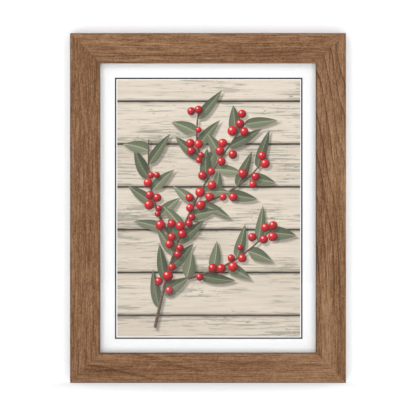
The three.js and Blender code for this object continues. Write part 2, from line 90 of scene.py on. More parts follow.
class Nodes:
    """Short calls that add shader nodes to a tree and link them."""

    def __init__(self, tree):
        self.tree = tree

    def set(self, socket, value):
        """Links another node's output to a socket, or writes a constant on it."""
        if isinstance(value, bpy.types.NodeSocket):
            self.tree.links.new(value, socket)
        else:
            socket.default_value = value

    def add(self, kind, inputs, **settings):
        """Adds a node with its settings, and fills its sockets."""
        node = self.tree.nodes.new(kind)
        for setting, value in settings.items():
            setattr(node, setting, value)
        for key, value in inputs.items():
            self.set(node.inputs[key], value)
        return node

    def use(self, pattern, **inputs):
        """Puts a pattern in the tree, and gives its outputs."""
        return self.add("ShaderNodeGroup", inputs, node_tree=pattern.tree).outputs

    def place(self, shift=(0, 0, 0), turn=(0, 0, 0)):
        """Object coordinates in millimetres, turned and then shifted."""
        coordinates = self.add("ShaderNodeTexCoord", {}).outputs["Object"]
        mapping = {"Vector": coordinates, "Location": shift, "Rotation": turn, "Scale": (PER_MM,) * 3}
        return self.add("ShaderNodeMapping", mapping).outputs[0]

    def parts(self, vector):
        """The X, Y and Z of a vector."""
        return self.add("ShaderNodeSeparateXYZ", {0: vector}).outputs

    def vector(self, x, y, z=0.0):
        return self.add("ShaderNodeCombineXYZ", {0: x, 1: y, 2: z}).outputs[0]

    def vector_math(self, operation, first, second=(0, 0, 0)):
        node = self.add("ShaderNodeVectorMath", {0: first, 1: second}, operation=operation)
        return node.outputs["Value" if operation == "LENGTH" else "Vector"]

    def math(self, operation, first, second=0.0, third=0.0):
        inputs = {0: first, 1: second, 2: third}
        return self.add("ShaderNodeMath", inputs, operation=operation).outputs[0]

    def sum(self, first, *others):
        for other in others:
            first = self.math("ADD", first, other)
        return first

    def less(self, first, *others):
        """The first value with the others taken off."""
        for other in others:
            first = self.math("SUBTRACT", first, other)
        return first

    def times(self, first, *others):
        for other in others:
            first = self.math("MULTIPLY", first, other)
        return first

    def rest(self, value):
        """What is left of 1."""
        return self.less(1.0, value)

    def between(self, share, low, high):
        """Goes from low to high while share goes from 0 to 1."""
        return self.math("MULTIPLY_ADD", share, high - low, low)

    def within(self, value, low, high):
        """1 from low to high, 0 outside them."""
        return self.math("COMPARE", value, (low + high) / 2, (high - low) / 2)

    def rise(self, value, low, high):
        """0 on low's side, 1 on high's side, and smooth between them."""
        inputs = {"Value": value, "From Min": low, "From Max": high}
        return self.add("ShaderNodeMapRange", inputs, interpolation_type="SMOOTHSTEP").outputs[0]

    def noise(self, vector, size, detail=2.0, roughness=0.5):
        """Soft noise from 0 to 1, in patches of about that size in millimetres each way."""
        squeeze = {"Vector": vector, "Scale": tuple(1.0 / length for length in size)}
        fitted = self.add("ShaderNodeMapping", squeeze).outputs[0]
        inputs = {"Vector": fitted, "Scale": 1.0, "Detail": detail, "Roughness": roughness}
        return self.add("ShaderNodeTexNoise", inputs).outputs[0]

    def sway(self, vector, size, reach, detail=2.0):
        """Soft noise from minus half of reach to plus half of it."""
        return self.between(self.noise(vector, size, detail), -reach / 2, reach / 2)

    def chance(self, number):
        """A random number from 0 to 1 that belongs to a whole number."""
        return self.add("ShaderNodeTexWhiteNoise", {"W": number}, noise_dimensions="1D").outputs[0]

    def mix(self, share, first, second, blend="MIX"):
        """Mixes two colours, for which the node has the inputs 6 and 7 and the output 2."""
        inputs = {0: share, 6: first, 7: second}
        return self.add("ShaderNodeMix", inputs, data_type="RGBA", blend_type=blend).outputs[2]

    def tones(self, value, stops):
        """A colour ramp through stops of (place, colour)."""
        ramp = self.add("ShaderNodeValToRGB", {0: value})
        marks = ramp.color_ramp.elements
        for mark, (place, colour) in zip(marks, (stops[0], stops[-1])):
            mark.position = place
            mark.color = (*colour, 1.0)
        for place, colour in stops[1:-1]:
            marks.new(place).color = (*colour, 1.0)
        return ramp.outputs[0]

    def relief(self, height, depth, strength):
        """A bump of that depth in millimetres."""
        inputs = {"Strength": strength, "Distance": depth * MM, "Height": height}
        return self.add("ShaderNodeBump", inputs).outputs[0]

    def facing(self):
        """1 on the front of a face, 0 on its back."""
        return self.rest(self.add("ShaderNodeNewGeometry", {}).outputs["Backfacing"])

    def rays(self):
        """What kind of ray meets the surface."""
        return self.add("ShaderNodeLightPath", {}).outputs

    def looked_at(self, rays):
        """1 for the camera's own rays and for those that come to it through glass."""
        return self.math("MAXIMUM", rays["Is Camera Ray"], rays["Is Transmission Ray"])


class Finish(Nodes):
    """A material."""

    def __init__(self, name):
        self.material = bpy.data.materials.new(name)
        self.material.use_nodes = True
        super().__init__(self.material.node_tree)
        self.surface = self.tree.nodes["Principled BSDF"]
        self.output = self.tree.nodes["Material Output"]

    def finish(self, **sockets):
        """Sets sockets of the surface shader, written with _ for a space."""
        for name, value in sockets.items():
            self.set(self.surface.inputs[name.replace("_", " ")], value)
        return self.material

    def mix_shaders(self, share, first, second):
        """Shows a mix of two shader nodes, by the second one's share."""
        shown = self.add("ShaderNodeMixShader", {0: share, 1: first.outputs[0], 2: second.outputs[0]})
        self.set(self.output.inputs["Surface"], shown.outputs[0])
        return self.material


class Pattern(Nodes):
    """Nodes that are laid out once, as a group, and used many times."""

    def __init__(self, name, **inputs):
        super().__init__(bpy.data.node_groups.new(name, "ShaderNodeTree"))
        for title, kind in inputs.items():
            self.tree.interface.new_socket(title, in_out="INPUT", socket_type=SOCKETS[kind])
        self.given = self.tree.nodes.new("NodeGroupInput").outputs

    def result(self, **values):
        """Names the group's outputs and links them."""
        for title, value in values.items():
            self.tree.interface.new_socket(title, in_out="OUTPUT", socket_type=SOCKETS[value.type])
        self.add("NodeGroupOutput", values)
        return self


# Wood

WOOD_TONES = (
    (0.0, (0.080, 0.029, 0.008)),
    (0.28, (0.143, 0.061, 0.021)),
    (0.5, (0.230, 0.112, 0.050)),
    (0.72, (0.314, 0.169, 0.084)),
    (1.0, (0.413, 0.243, 0.132)),
)
MEAN_STAIN = (*WOOD_TONES[2][1], 1.0)
# Dark colour of the stain and of the painted edge shade along the edges of the face
EDGE_STAIN_AND_SHADE = (0.045, 0.018, 0.007, 1.0)
RAW_WOOD = (0.50, 0.34, 0.20, 1.0)
STAIN_TAKEN_OFF = 0.55

# Sizes of the marks along the grain, into the wood and across it
SLOW_BEND = (260, 120, 48)
QUICK_BEND = (70, 30, 16)
RING_PATCH = (150, 40, 16)
GRIT = (2.0, 0.9, 0.9)
FIBRE = (26, 1.1, 1.1)
STRAND = (110, 1.8, 1.8)
PORE = (8, 0.8, 0.8)
STREAK = (240, 36, 18)

# How far the rings bend aside, and lean from the face to the back
SLOW_BEND_REACH = 26.0
QUICK_BEND_REACH = 3.0
SIDE_LEAN = 0.9

# A ring's shares in which growth begins, darkens, draws its line and stops, and their strengths
RING_START = (0.02, 0.25)
RING_DARKENING = (0.3, 0.9)
RING_LINE = (0.78, 0.9)
RING_STOP = (0.94, 1.0)
START_PALENESS = 0.15
RING_SHADE = 0.2
LINE_DARKNESS = (0.25, 0.85)
PATCH_FADE = 0.25

# How far the fibres change the tone
GRIT_REACH = 0.7
FIBRE_REACH = 1.1
STRAND_REACH = 0.42
PORE_RISE = (0.56, 0.7)
PORE_DARKNESS = 0.2

# Where the stain and the painted edge shade gather on the edges, and how far from the back the stain
# begins and ends to fade
EDGE_WIDTH = 1.3
EDGE_DEPTH = 2.0
STAIN_FADE = (0.6, 0.2)


class Heart(NamedTuple):
    """Where the middle of the tree lies, across and behind the face, and how fast it draws nearer."""
    across: float
    behind: float
    nearing: float


class Wood(NamedTuple):
    """How one length of moulding was cut and stained."""
    shift: tuple            # where in the tree it was cut
    tint: float             # how pale it is
    streaks: float          # how strong its broad streaks are
    lean: float             # how fast the grain runs across the face
    heart: Heart
    spacing: float          # how far apart the rings are
    ring_darkness: float
    ring_gaps: float        # how much of the face they leave bare
    # The two edge values set how dark the gathered stain and the painted edge shade are on each edge
    outer_edge: float       # how dark the outer edge is
    sight_edge: float       # how dark the sight edge is
    clear: tuple = None     # heights between which the rings set in, if it is partly clear of them


MOULDING = {
    "top_rail": Wood(
        shift=(40, 0, 300), tint=0.515, streaks=0.45, lean=0.02,
        heart=Heart(across=14, behind=30, nearing=0.10), spacing=8.5,
        ring_darkness=0.18, ring_gaps=0.4, outer_edge=0.6, sight_edge=0.15),
    "bottom_rail": Wood(
        shift=(900, 0, 70), tint=0.605, streaks=1.1, lean=-0.03,
        heart=Heart(across=6, behind=24, nearing=0.12), spacing=8.5,
        ring_darkness=0.22, ring_gaps=0.4, outer_edge=0.75, sight_edge=0.9),
    "left_stile": Wood(
        shift=(2300, 0, 40), tint=0.455, streaks=0.3, lean=0.01,
        heart=Heart(across=26, behind=60, nearing=0.02), spacing=8.5,
        ring_darkness=0.14, ring_gaps=0.4, outer_edge=0.6, sight_edge=0.05),
    "right_stile": Wood(
        shift=(610, 0, 170), tint=0.485, streaks=0.9, lean=-0.03,
        heart=Heart(across=-40, behind=-75.6, nearing=0.12), spacing=4.6,
        ring_darkness=0.46, ring_gaps=0.25, outer_edge=0.1, sight_edge=0.9, clear=(30, 130)),
}


def tree_rings(f, wood, grain):
    """How dark the rings are: pale where a year's growth began, and with a dark line where it stopped."""
    along, deep, across = f.parts(grain)
    slow = f.sway(grain, SLOW_BEND, SLOW_BEND_REACH)
    quick = f.sway(grain, QUICK_BEND, QUICK_BEND_REACH)
    leaning = f.sum(across, f.times(along, wood.lean), f.times(deep, SIDE_LEAN))
    sideways = f.sum(leaning, slow, quick, wood.heart.across)
    backwards = f.math("MULTIPLY_ADD", along, wood.heart.nearing, wood.heart.behind)
    reach = f.math("SQRT", f.sum(f.times(sideways, sideways), f.times(backwards, backwards)))
    count = f.times(reach, 1.0 / wood.spacing)
    ring = f.math("FRACT", count)
    year = f.chance(f.math("FLOOR", count))
    shade = f.times(f.rise(ring, *RING_DARKENING), RING_SHADE)
    line = f.times(f.rise(ring, *RING_LINE), f.between(year, *LINE_DARKNESS))
    growing = f.rest(f.rise(ring, *RING_STOP))
    pale = f.times(f.rest(f.rise(ring, *RING_START)), START_PALENESS)
    patches = f.rise(f.noise(grain, RING_PATCH), wood.ring_gaps, wood.ring_gaps + PATCH_FADE)
    if wood.clear:
        patches = f.times(patches, f.rise(f.less(along, wood.shift[0]), *wood.clear))
    return f.times(f.less(f.times(f.sum(shade, line), growing), pale), patches, wood.ring_darkness)


def edge_stain_and_shade(f, wood, upright, outwards, depth):
    """How dark the edges of the face are: stain gathered there, and painted edge shade that is stronger on
    some sides.
    """
    outer, sight = (
        (corner.x if upright else corner.z - middle.z) * PER_MM
        for corner in (outer_corner, sight_corner))
    at_outer = f.times(f.rise(outwards, outer - EDGE_WIDTH, outer), wood.outer_edge)
    at_sight = f.times(f.rest(f.rise(outwards, sight, sight + EDGE_WIDTH)), wood.sight_edge)
    at_front = f.rest(f.rise(depth, front_y * PER_MM, front_y * PER_MM + EDGE_DEPTH))
    return f.times(f.sum(at_outer, at_sight), at_front)


def stained_wood(name, wood):
    """Stained wood, grained along a rail or up a stile."""
    f = Finish(name + "_wood")
    upright = name.endswith("stile")
    grain = f.place(wood.shift, (0, QUARTER_TURN if upright else 0, 0))

    # Fibres and pores along the grain, broad pale and dark streaks, and rings
    grit = f.sway(grain, GRIT, GRIT_REACH, detail=1.0)
    fibre = f.noise(grain, FIBRE, roughness=0.6)
    strand = f.sway(grain, STRAND, STRAND_REACH)
    pore = f.rise(f.noise(grain, PORE, detail=1.0), *PORE_RISE)
    streak = f.sway(grain, STREAK, wood.streaks)
    fibres = f.between(fibre, wood.tint - FIBRE_REACH / 2, wood.tint + FIBRE_REACH / 2)
    rings = tree_rings(f, wood, grain)
    tone = f.less(f.sum(fibres, grit, strand, streak), rings, f.times(pore, PORE_DARKNESS))

    # Stain and painted edge shade gather along the edges of the face, and the stain stops at the back
    x, depth, z = f.parts(f.place((0, 0, -middle.z * PER_MM)))
    outwards = f.math("ABSOLUTE", x if upright else z)
    edge_darkening = edge_stain_and_shade(f, wood, upright, outwards, depth)
    stained = f.mix(edge_darkening, f.tones(tone, WOOD_TONES), EDGE_STAIN_AND_SHADE)
    behind = f.rise(depth, *(back_y * PER_MM - from_back for from_back in STAIN_FADE))
    raw = f.mix(1.0, f.mix(STAIN_TAKEN_OFF, stained, MEAN_STAIN, "DIVIDE"), RAW_WOOD, "MULTIPLY")
    return f.finish(
        Base_Color=f.mix(behind, stained, raw),
        Roughness=f.between(fibre, low=0.44, high=0.64),
        Normal=f.relief(f.less(fibre, pore), depth=0.12, strength=0.35),
        Specular_IOR_Level=0.25,
    )


# Glass

GLASS_TINT = (0.995, 0.996, 0.995, 1.0)
GLASS_IOR = 1.5
SMEAR = (50, 10, 30)
SMEAR_ROUGHNESS = 0.05


def clear_glass():
    """Clear pane: light goes straight through, and its outer faces mirror a little."""
    f = Finish("clear_glass")
    f.tree.nodes.remove(f.surface)
    smear = f.noise(f.place(), SMEAR, detail=4.0)
    shine = f.add("ShaderNodeBsdfGlossy", {"Roughness": f.times(smear, SMEAR_ROUGHNESS)})
    way_through = f.add("ShaderNodeBsdfTransparent", {"Color": GLASS_TINT})
    mirrored = f.add("ShaderNodeFresnel", {"IOR": GLASS_IOR}).outputs[0]
    return f.mix_shaders(f.times(mirrored, f.facing()), way_through, shine)


# Printed sheet

PAPER_WHITE = (0.957, 0.956, 0.957, 1.0)
KEYLINE_INK = (0.018, 0.020, 0.023, 1.0)

# How soft the edge of a printed shape is, and a depth that is well outside each shape
INK_BLUR = 0.2
OUT_OF_SIGHT = 40.0


def inside(f, x, z, half_width, half_height):
    """1 within a rectangle round the print's middle, 0 outside it."""
    within_x = f.math("LESS_THAN", f.math("ABSOLUTE", x), half_width)
    within_z = f.math("LESS_THAN", f.math("ABSOLUTE", z), half_height)
    return f.times(within_x, within_z)


def inked(f, depth):
    """1 inside a printed shape, 0 outside it, from how deep inside it a point lies."""
    return f.rise(depth, -INK_BLUR, INK_BLUR)


# Planks in the picture

WASH_TONES = (
    (0.0, (0.42, 0.36, 0.28)),
    (0.35, (0.62, 0.53, 0.43)),
    (0.65, (0.76, 0.66, 0.55)),
    (1.0, (0.87, 0.80, 0.71)),
)
BARE_BOARD_TONES = (
    (0.2, (0.13, 0.125, 0.10)),
    (0.5, (0.29, 0.28, 0.22)),
    (0.8, (0.46, 0.42, 0.34)),
)
PLANK_GAP_INK = (0.045, 0.036, 0.027, 1.0)
JOINT_SHADE = (0.50, 0.47, 0.43, 1.0)
JOINT_SHADE_STRENGTH = 0.7

# Sizes of the marks along a plank, through it and up it, and how far apart planks lie in their noise
PLANK_FIBRE = (34, 1, 0.9)
PLANK_BRUSH = (90, 1, 6)
WEAR_CLUSTER = (80, 1, 26)
WEAR_STREAK = (40, 1, 2.1)
WEAR_CHIP = (8, 1, 1.3)
JOINT_WANDER = (16, 1, 400)
PLANK_SLIDE = 900.0
PLANK_STEP = 40.0

# How far the marks change the tone of the wash, and where and how far it is worn
FIBRE_TONE = 0.55
BRUSH_TONE = 0.7
PLANK_TONE = 0.16
WASH_DARKENING = 0.14
CLUSTER_REACH = 0.55
STREAK_RISE = (0.53, 0.64)
STREAK_WEAR = 0.7
CHIP_RISE = (0.66, 0.70)
CHIP_WEAR = 0.85
JOINT_WANDER_REACH = 0.7


def washed_planks(f, x, z):
    """Level boards with a worn pale wash, grey-green where it has gone."""
    course = f.math("MULTIPLY_ADD", z, 1.0 / PLANK_HEIGHT, 0.5)
    board = f.math("FLOOR", course)
    own = f.chance(board)
    slide = f.vector(f.math("MULTIPLY_ADD", own, PLANK_SLIDE, x), f.times(board, PLANK_STEP), z)

    # Wash, worn through in clusters of streaks and chips
    fibre = f.noise(slide, PLANK_FIBRE, detail=3.0, roughness=0.6)
    brush = f.noise(slide, PLANK_BRUSH, detail=3.0, roughness=0.55)
    cluster = f.sway(slide, WEAR_CLUSTER, CLUSTER_REACH)
    worn = f.sum(f.noise(slide, WEAR_STREAK, detail=3.0, roughness=0.62), cluster)
    worn = f.rise(worn, *STREAK_RISE)
    chipped = f.sum(f.noise(slide, WEAR_CHIP, roughness=0.6), cluster)
    chipped = f.rise(chipped, *CHIP_RISE)
    tone = f.sum(f.times(fibre, FIBRE_TONE), f.times(brush, BRUSH_TONE), f.times(own, PLANK_TONE))
    wash = f.tones(f.less(tone, WASH_DARKENING), WASH_TONES)
    bare = f.tones(fibre, BARE_BOARD_TONES)
    gone = f.math("MAXIMUM", f.times(worn, STREAK_WEAR), f.times(chipped, CHIP_WEAR))
    boards = f.mix(gone, wash, bare)

    # Open joints with shade beside them
    from_joint = f.math("PINGPONG", f.sum(z, PLANK_HEIGHT / 2), PLANK_HEIGHT / 2)
    from_joint = f.sum(from_joint, f.sway(slide, JOINT_WANDER, JOINT_WANDER_REACH))
    shaded = f.rest(f.rise(from_joint, PLANK_JOINT / 2, PLANK_SHADE))
    boards = f.mix(f.times(shaded, JOINT_SHADE_STRENGTH), boards, JOINT_SHADE, "MULTIPLY")
    gap = f.rest(f.rise(from_joint, PLANK_JOINT / 2, PLANK_JOINT))
    return f.mix(gap, boards, PLANK_GAP_INK)


# Stems of the picked spray: a main stem, and twigs that leave it at some length along it

class Stem(NamedTuple):
    """A stem from its foot: the way it points in degrees, its length, and how far it bends to the left."""
    x: float
    z: float
    angle: float
    length: float
    bend: float


class Twig(NamedTuple):
    """A twig: how far along the main stem it grows, and the rest as for a stem."""
    along: float
    angle: float
    length: float
    bend: float


MAIN_STEM = Stem(x=-54.0, z=-120.0, angle=66.0, length=228.0, bend=15.0)
TWIGS = (
    Twig(along=46.0, angle=27.0, length=122.0, bend=-12.0),
    Twig(along=82.0, angle=104.0, length=112.0, bend=10.0),
    Twig(along=128.0, angle=33.0, length=88.0, bend=-8.0),
    Twig(along=158.0, angle=97.0, length=72.0, bend=6.0),
)
STEM_INPUTS = {
    "point": "VECTOR", "start": "VECTOR", "turn": "VECTOR", "length": "VALUE", "bend": "VALUE",
}


def spray_stems():
    """The main stem, and each twig from the point where it leaves the main stem."""
    turn = math.radians(MAIN_STEM.angle)
    stems = [MAIN_STEM]
    for twig in TWIGS:
        off = MAIN_STEM.bend * math.sin(math.pi * twig.along / MAIN_STEM.length)
        x = MAIN_STEM.x + twig.along * math.cos(turn) - off * math.sin(turn)
        z = MAIN_STEM.z + twig.along * math.sin(turn) + off * math.cos(turn)
        stems.append(Stem(x, z, twig.angle, twig.length, twig.bend))
    return stems


def stem_sizes(stem):
    """A stem as the inputs of a pattern."""
    turn = (0.0, 0.0, math.radians(stem.angle))
    return {"start": (stem.x, stem.z, 0.0), "turn": turn, "length": stem.length, "bend": stem.bend}


def stem_pattern():
    """How far up a bent stem a point lies, as a length and a share, and how far off it to the left."""
    p = Pattern("stem", **STEM_INPUTS)
    to_stem = {"Vector": p.given["point"], "Location": p.given["start"], "Rotation": p.given["turn"]}
    turned = p.parts(p.add("ShaderNodeMapping", to_stem, vector_type="TEXTURE").outputs[0])
    along = turned["X"]
    share = p.math("DIVIDE", along, p.given["length"])
    arc = p.times(p.math("SINE", p.times(share, math.pi)), p.given["bend"])
    return p.result(along=along, share=share, off=p.less(turned["Y"], arc))


# Leaves and bark

LEAF_TONES = (
    (0.0, (0.030, 0.038, 0.020)),
    (0.4, (0.105, 0.122, 0.070)),
    (0.75, (0.225, 0.240, 0.150)),
    (1.0, (0.42, 0.42, 0.30)),
)
BARK_TONES = (
    (0.0, (0.028, 0.017, 0.010)),
    (0.5, (0.105, 0.066, 0.040)),
    (1.0, (0.30, 0.215, 0.145)),
)
STEM_THICKNESS = 3.4
TIP_THICKNESS = 1.2

# Leaves along a stem: how far apart, how much later on one of the sides, and over which share of it
LEAF_PITCH = 27.0
LEAF_STAGGER = 0.25
LEAF_STRETCH = (0.06, 0.98)
SIDES = 2.0

# Leaves differ between the two values of a pair. They lean in radians, and curl per millimetre
LEAF_LENGTH = (37.0, 27.75)
LEAF_LEAN = (0.5, 1.05)
LEAF_CURL = (0.004, -0.008)
LEAF_TONE = (0.28, 0.68)

# The swell brings a leaf's curve to that width at its widest
LEAF_WIDTH = 11.5
LEAF_SWELL = 1.3
THINNEST_LEAF = 0.1

# The pale rib fades between two distances off its middle, and the light on the halves changes over it
RIB = (0.15, 0.6)
RIB_BLUR = 0.4

# Side veins, as radians of a wave over a leaf's length and over each millimetre off the rib
VEINS_UP = 62.0
VEINS_OFF = 1.5

# Tones of a leaf's lit half, edge, rib and veins, and of the bark's round and mottles
LIT_HALF_TONE = 0.2
EDGE_TONE = 0.16
RIB_TONE = 0.3
VEIN_TONE = 0.035
BARK_ROUND_TONE = 0.35
BARK_MIDDLE_TONE = 0.5
BARK_MOTTLE_TONE = 0.6
BARK_MOTTLES_PER_MM = 0.4


def leaf_pattern():
    """A leaf that grows from a root on a stem: how deep inside it a point lies, and its colour.

    ahead is how far the point lies up the stem from the root, away how far off the stem, and share
    how far up the stem the root is."""
    p = Pattern("leaf", ahead="VALUE", away="VALUE", share="VALUE", seed="VALUE")
    ahead, away = p.given["ahead"], p.given["away"]
    own = p.chance(p.given["seed"])

    # Up the leaf from its root, and across it from its rib
    lean = p.between(own, *LEAF_LEAN)
    cosine, sine = p.math("COSINE", lean), p.math("SINE", lean)
    up = p.sum(p.times(ahead, cosine), p.times(away, sine))
    curl = p.times(up, up, p.between(own, *LEAF_CURL))
    across = p.sum(p.less(p.times(away, cosine), p.times(ahead, sine)), curl)
    share = p.math("DIVIDE", up, p.between(own, *LEAF_LENGTH))
    swell = p.math("SQRT", p.math("MAXIMUM", share, 0.0))
    half = p.times(p.rest(share), swell, LEAF_WIDTH * LEAF_SWELL)
    off_rib = p.math("ABSOLUTE", across)
    grows = p.within(p.given["share"], *LEAF_STRETCH)
    hidden = p.times(p.rest(grows), OUT_OF_SIGHT)
    depth = p.less(half, off_rib, hidden)

    # Pale rib, fine side veins and one half turned to the light
    lit = p.times(p.rise(across, -RIB_BLUR, RIB_BLUR), LIT_HALF_TONE)
    edge = p.times(p.math("DIVIDE", off_rib, p.math("MAXIMUM", half, THINNEST_LEAF)), EDGE_TONE)
    rib = p.times(p.rest(p.rise(off_rib, *RIB)), RIB_TONE)
    veins = p.math("SINE", p.less(p.times(share, VEINS_UP), p.times(off_rib, VEINS_OFF)))
    tone = p.sum(p.between(own, *LEAF_TONE), lit, rib, p.times(veins, VEIN_TONE))
    return p.result(depth=depth, colour=p.tones(p.less(tone, edge), LEAF_TONES))


def twig_pattern(stem, leaf):
    """A twig with its leaves, laid over a ground: how deep inside it a point lies, and its colour."""
    p = Pattern("twig", **STEM_INPUTS, seed="VALUE", ground="RGBA")
    way = p.use(stem, **{name: p.given[name] for name in STEM_INPUTS})
    along, off = way["along"], way["off"]

    # Leaves stand by turns on the two sides, and each lies over the one below it
    side = p.math("SIGN", off)
    away = p.math("ABSOLUTE", off)
    stagger = p.times(side, LEAF_STAGGER)
    last = p.math("FLOOR", p.math("MULTIPLY_ADD", along, 1.0 / LEAF_PITCH, stagger))
    either = p.sum(side, p.given["seed"])
    cover, colour = -OUT_OF_SIGHT, p.given["ground"]
    for below in (1.0, 0.0):
        number = p.less(last, below)
        root = p.times(p.less(number, stagger), LEAF_PITCH)
        ahead = p.less(along, root)
        share = p.math("DIVIDE", root, p.given["length"])
        seed = p.math("MULTIPLY_ADD", number, SIDES, either)
        grown = p.use(leaf, ahead=ahead, away=away, share=share, seed=seed)
        cover = p.math("MAXIMUM", cover, grown["depth"])
        colour = p.mix(inked(p, grown["depth"]), colour, grown["colour"])

    # Bark, lit from one side
    half = p.between(way["share"], STEM_THICKNESS / 2, TIP_THICKNESS / 2)
    depth = p.less(half, away)
    to_tip = p.less(p.given["length"], along)
    depth = p.math("MINIMUM", depth, p.math("MINIMUM", along, to_tip))
    lit = p.math("MULTIPLY_ADD", p.math("DIVIDE", off, half), BARK_ROUND_TONE, BARK_MIDDLE_TONE)
    mottles = {"W": along, "Scale": BARK_MOTTLES_PER_MM}
    mottle = p.add("ShaderNodeTexNoise", mottles, noise_dimensions="1D").outputs[0]
    bark = p.sum(lit, p.between(mottle, -BARK_MOTTLE_TONE / 2, BARK_MOTTLE_TONE / 2))
    colour = p.mix(inked(p, depth), colour, p.tones(bark, BARK_TONES))
    return p.result(depth=p.math("MAXIMUM", cover, depth), colour=colour)


# Berries

BERRY_TONES = (
    (0.0, (0.085, 0.002, 0.004)),
    (0.45, (0.36, 0.006, 0.012)),
    (0.8, (0.70, 0.014, 0.022)),
    (1.0, (0.80, 0.060, 0.055)),
)
GLINT_WHITE = (0.95, 0.80, 0.76, 1.0)
EYE_INK = (0.035, 0.010, 0.008, 1.0)

# Berries along a stem: how far apart and how strewn, how far off it, over which share of it, how many of
# the places are taken, and how far a berry may reach over the next
BERRY_PITCH = 10.5
BERRY_STREWING = 0.6
BERRY_BAND = 8.5
BERRY_STRETCH = (0.14, 1.02)
BERRY_SHARE = 0.82
BERRY_OVERLAP = 1.1

# A berry: its least and largest radius, what light from left, above and in front adds to its tone, and
# how far berries differ in it
BERRY_RADIUS = (4.2, 5.4)
BERRY_LIGHT = (-0.36, 0.40, 0.62)
BERRY_TONE = 0.2


class Spot(NamedTuple):
    """A round mark on a berry, in shares of its radius, full up to core and fading to rim."""
    x: float
    z: float
    core: float
    rim: float
    strength: float


EYE = Spot(x=0.30, z=-0.34, core=0.10, rim=0.22, strength=0.7)
GLINT = Spot(x=-0.34, z=0.40, core=0.10, rim=0.30, strength=0.8)


def marked(p, x, z, spot):
    """How strongly a spot shows at a point."""
    apart = p.vector(p.less(x, spot.x), p.less(z, spot.z))
    return p.times(p.rest(p.rise(p.vector_math("LENGTH", apart), spot.core, spot.rim)), spot.strength)


def berry_pattern(stem, stems):
    """Berries crowded along the stems: how deep inside one a point lies, and its colour.

    A berry is round and lit from the upper left, with a glint and a dark eye."""
    p = Pattern("berry", point="VECTOR")
    fitted = p.vector_math("DIVIDE", p.given["point"], (BERRY_PITCH,) * 3)
    cell = {"Vector": fitted, "Scale": 1.0, "Randomness": BERRY_STREWING}
    flat = {"voronoi_dimensions": "2D"}
    nearest = p.add("ShaderNodeTexVoronoi", cell, **flat).outputs
    room = p.add("ShaderNodeTexVoronoi", cell, **flat, feature="N_SPHERE_RADIUS").outputs["Radius"]
    own, size, ripeness = p.add("ShaderNodeSeparateColor", {0: nearest["Color"]}).outputs
    heart = p.vector_math("MULTIPLY", nearest["Position"], (BERRY_PITCH,) * 3)

    # Only berries beside a stem are shown, and not at every place
    near = 0.0
    for each in stems:
        way = p.use(stem, point=heart, **stem_sizes(each))
        beside = p.math("LESS_THAN", p.math("ABSOLUTE", way["off"]), BERRY_BAND)
        first, last = (share * each.length for share in BERRY_STRETCH)
        on = p.times(beside, p.within(way["along"], first, last))
        near = p.math("MAXIMUM", near, on)
    shown = p.times(near, p.math("LESS_THAN", own, BERRY_SHARE))
    radius = p.between(size, *BERRY_RADIUS)
    radius = p.math("MINIMUM", radius, p.times(room, BERRY_OVERLAP * BERRY_PITCH))
    hidden = p.times(p.rest(shown), OUT_OF_SIGHT)
    depth = p.less(radius, p.times(nearest["Distance"], BERRY_PITCH), hidden)

    # Shade over the round of the berry
    off_heart = p.parts(p.vector_math("SUBTRACT", p.given["point"], heart))
    x, z = (p.math("DIVIDE", off_heart[axis], radius) for axis in "XY")
    bulge = p.math("SQRT", p.math("MAXIMUM", p.rest(p.sum(p.times(x, x), p.times(z, z))), 0.0))
    light = p.sum(*(p.times(part, share) for part, share in zip((x, z, bulge), BERRY_LIGHT)))
    red = p.tones(p.sum(light, p.times(ripeness, BERRY_TONE)), BERRY_TONES)
    red = p.mix(marked(p, x, z, EYE), red, EYE_INK)
    red = p.mix(marked(p, x, z, GLINT), red, GLINT_WHITE)
    return p.result(depth=depth, colour=red)


# The whole print

SHADOW_SHADE = (0.30, 0.29, 0.28, 1.0)
SHADOW_FALL = (2.3, -2.8, 0.0)
TWIG_SHADOW_BLUR = (-1.6, 1.4)
TWIG_SHADOW = 0.75
BERRY_SHADOW_BLUR = (-1.5, 1.5)
BERRY_SHADOW = 0.6


def berry_spray(f, point, ground):
    """A spray of red berries and dull green leaves, laid over the ground with its soft shadow."""
    stems = spray_stems()
    stem = stem_pattern()
    twig = twig_pattern(stem, leaf_pattern())
    berry = berry_pattern(stem, stems)
    thrown = f.vector_math("SUBTRACT", point, SHADOW_FALL)
    under = -OUT_OF_SIGHT
    for each in stems:
        shade = f.use(twig, point=thrown, seed=each.angle, **stem_sizes(each))["depth"]
        under = f.math("MAXIMUM", under, shade)
    shadow = f.times(f.rise(under, *TWIG_SHADOW_BLUR), TWIG_SHADOW)
    picture = f.mix(shadow, ground, SHADOW_SHADE, "MULTIPLY")
    for each in reversed(stems):
        laid = f.use(twig, point=point, seed=each.angle, ground=picture, **stem_sizes(each))
        picture = laid["colour"]
    shade = f.use(berry, point=thrown)["depth"]
    shadow = f.times(f.rise(shade, *BERRY_SHADOW_BLUR), BERRY_SHADOW)
    picture = f.mix(shadow, picture, SHADOW_SHADE, "MULTIPLY")
    berries = f.use(berry, point=point)
    return f.mix(inked(f, berries["depth"]), picture, berries["colour"])


def printed_paper():
    """White sheet with a thin line round a picture of a berry spray on washed planks."""
    f = Finish("printed_paper")
    place = f.parts(f.place((-PRINT_SHIFT[0], 0, -middle.z * PER_MM - PRINT_SHIFT[1])))
    x, z = place["X"], place["Z"]
    picture = berry_spray(f, f.vector(x, z), washed_planks(f, x, z))
    half_line = KEYLINE_THICKNESS / 2
    outer = inside(f, x, z, KEYLINE_HALF_WIDTH + half_line, KEYLINE_HALF_HEIGHT + half_line)
    inner = inside(f, x, z, KEYLINE_HALF_WIDTH - half_line, KEYLINE_HALF_HEIGHT - half_line)
    sheet = f.mix(f.less(outer, inner), PAPER_WHITE, KEYLINE_INK)
    sheet = f.mix(inside(f, x, z, PICTURE_HALF_WIDTH, PICTURE_HALF_HEIGHT), sheet, picture)
    return f.finish(Base_Color=sheet, Roughness=0.55, Specular_IOR_Level=0.3)


# Hardboard

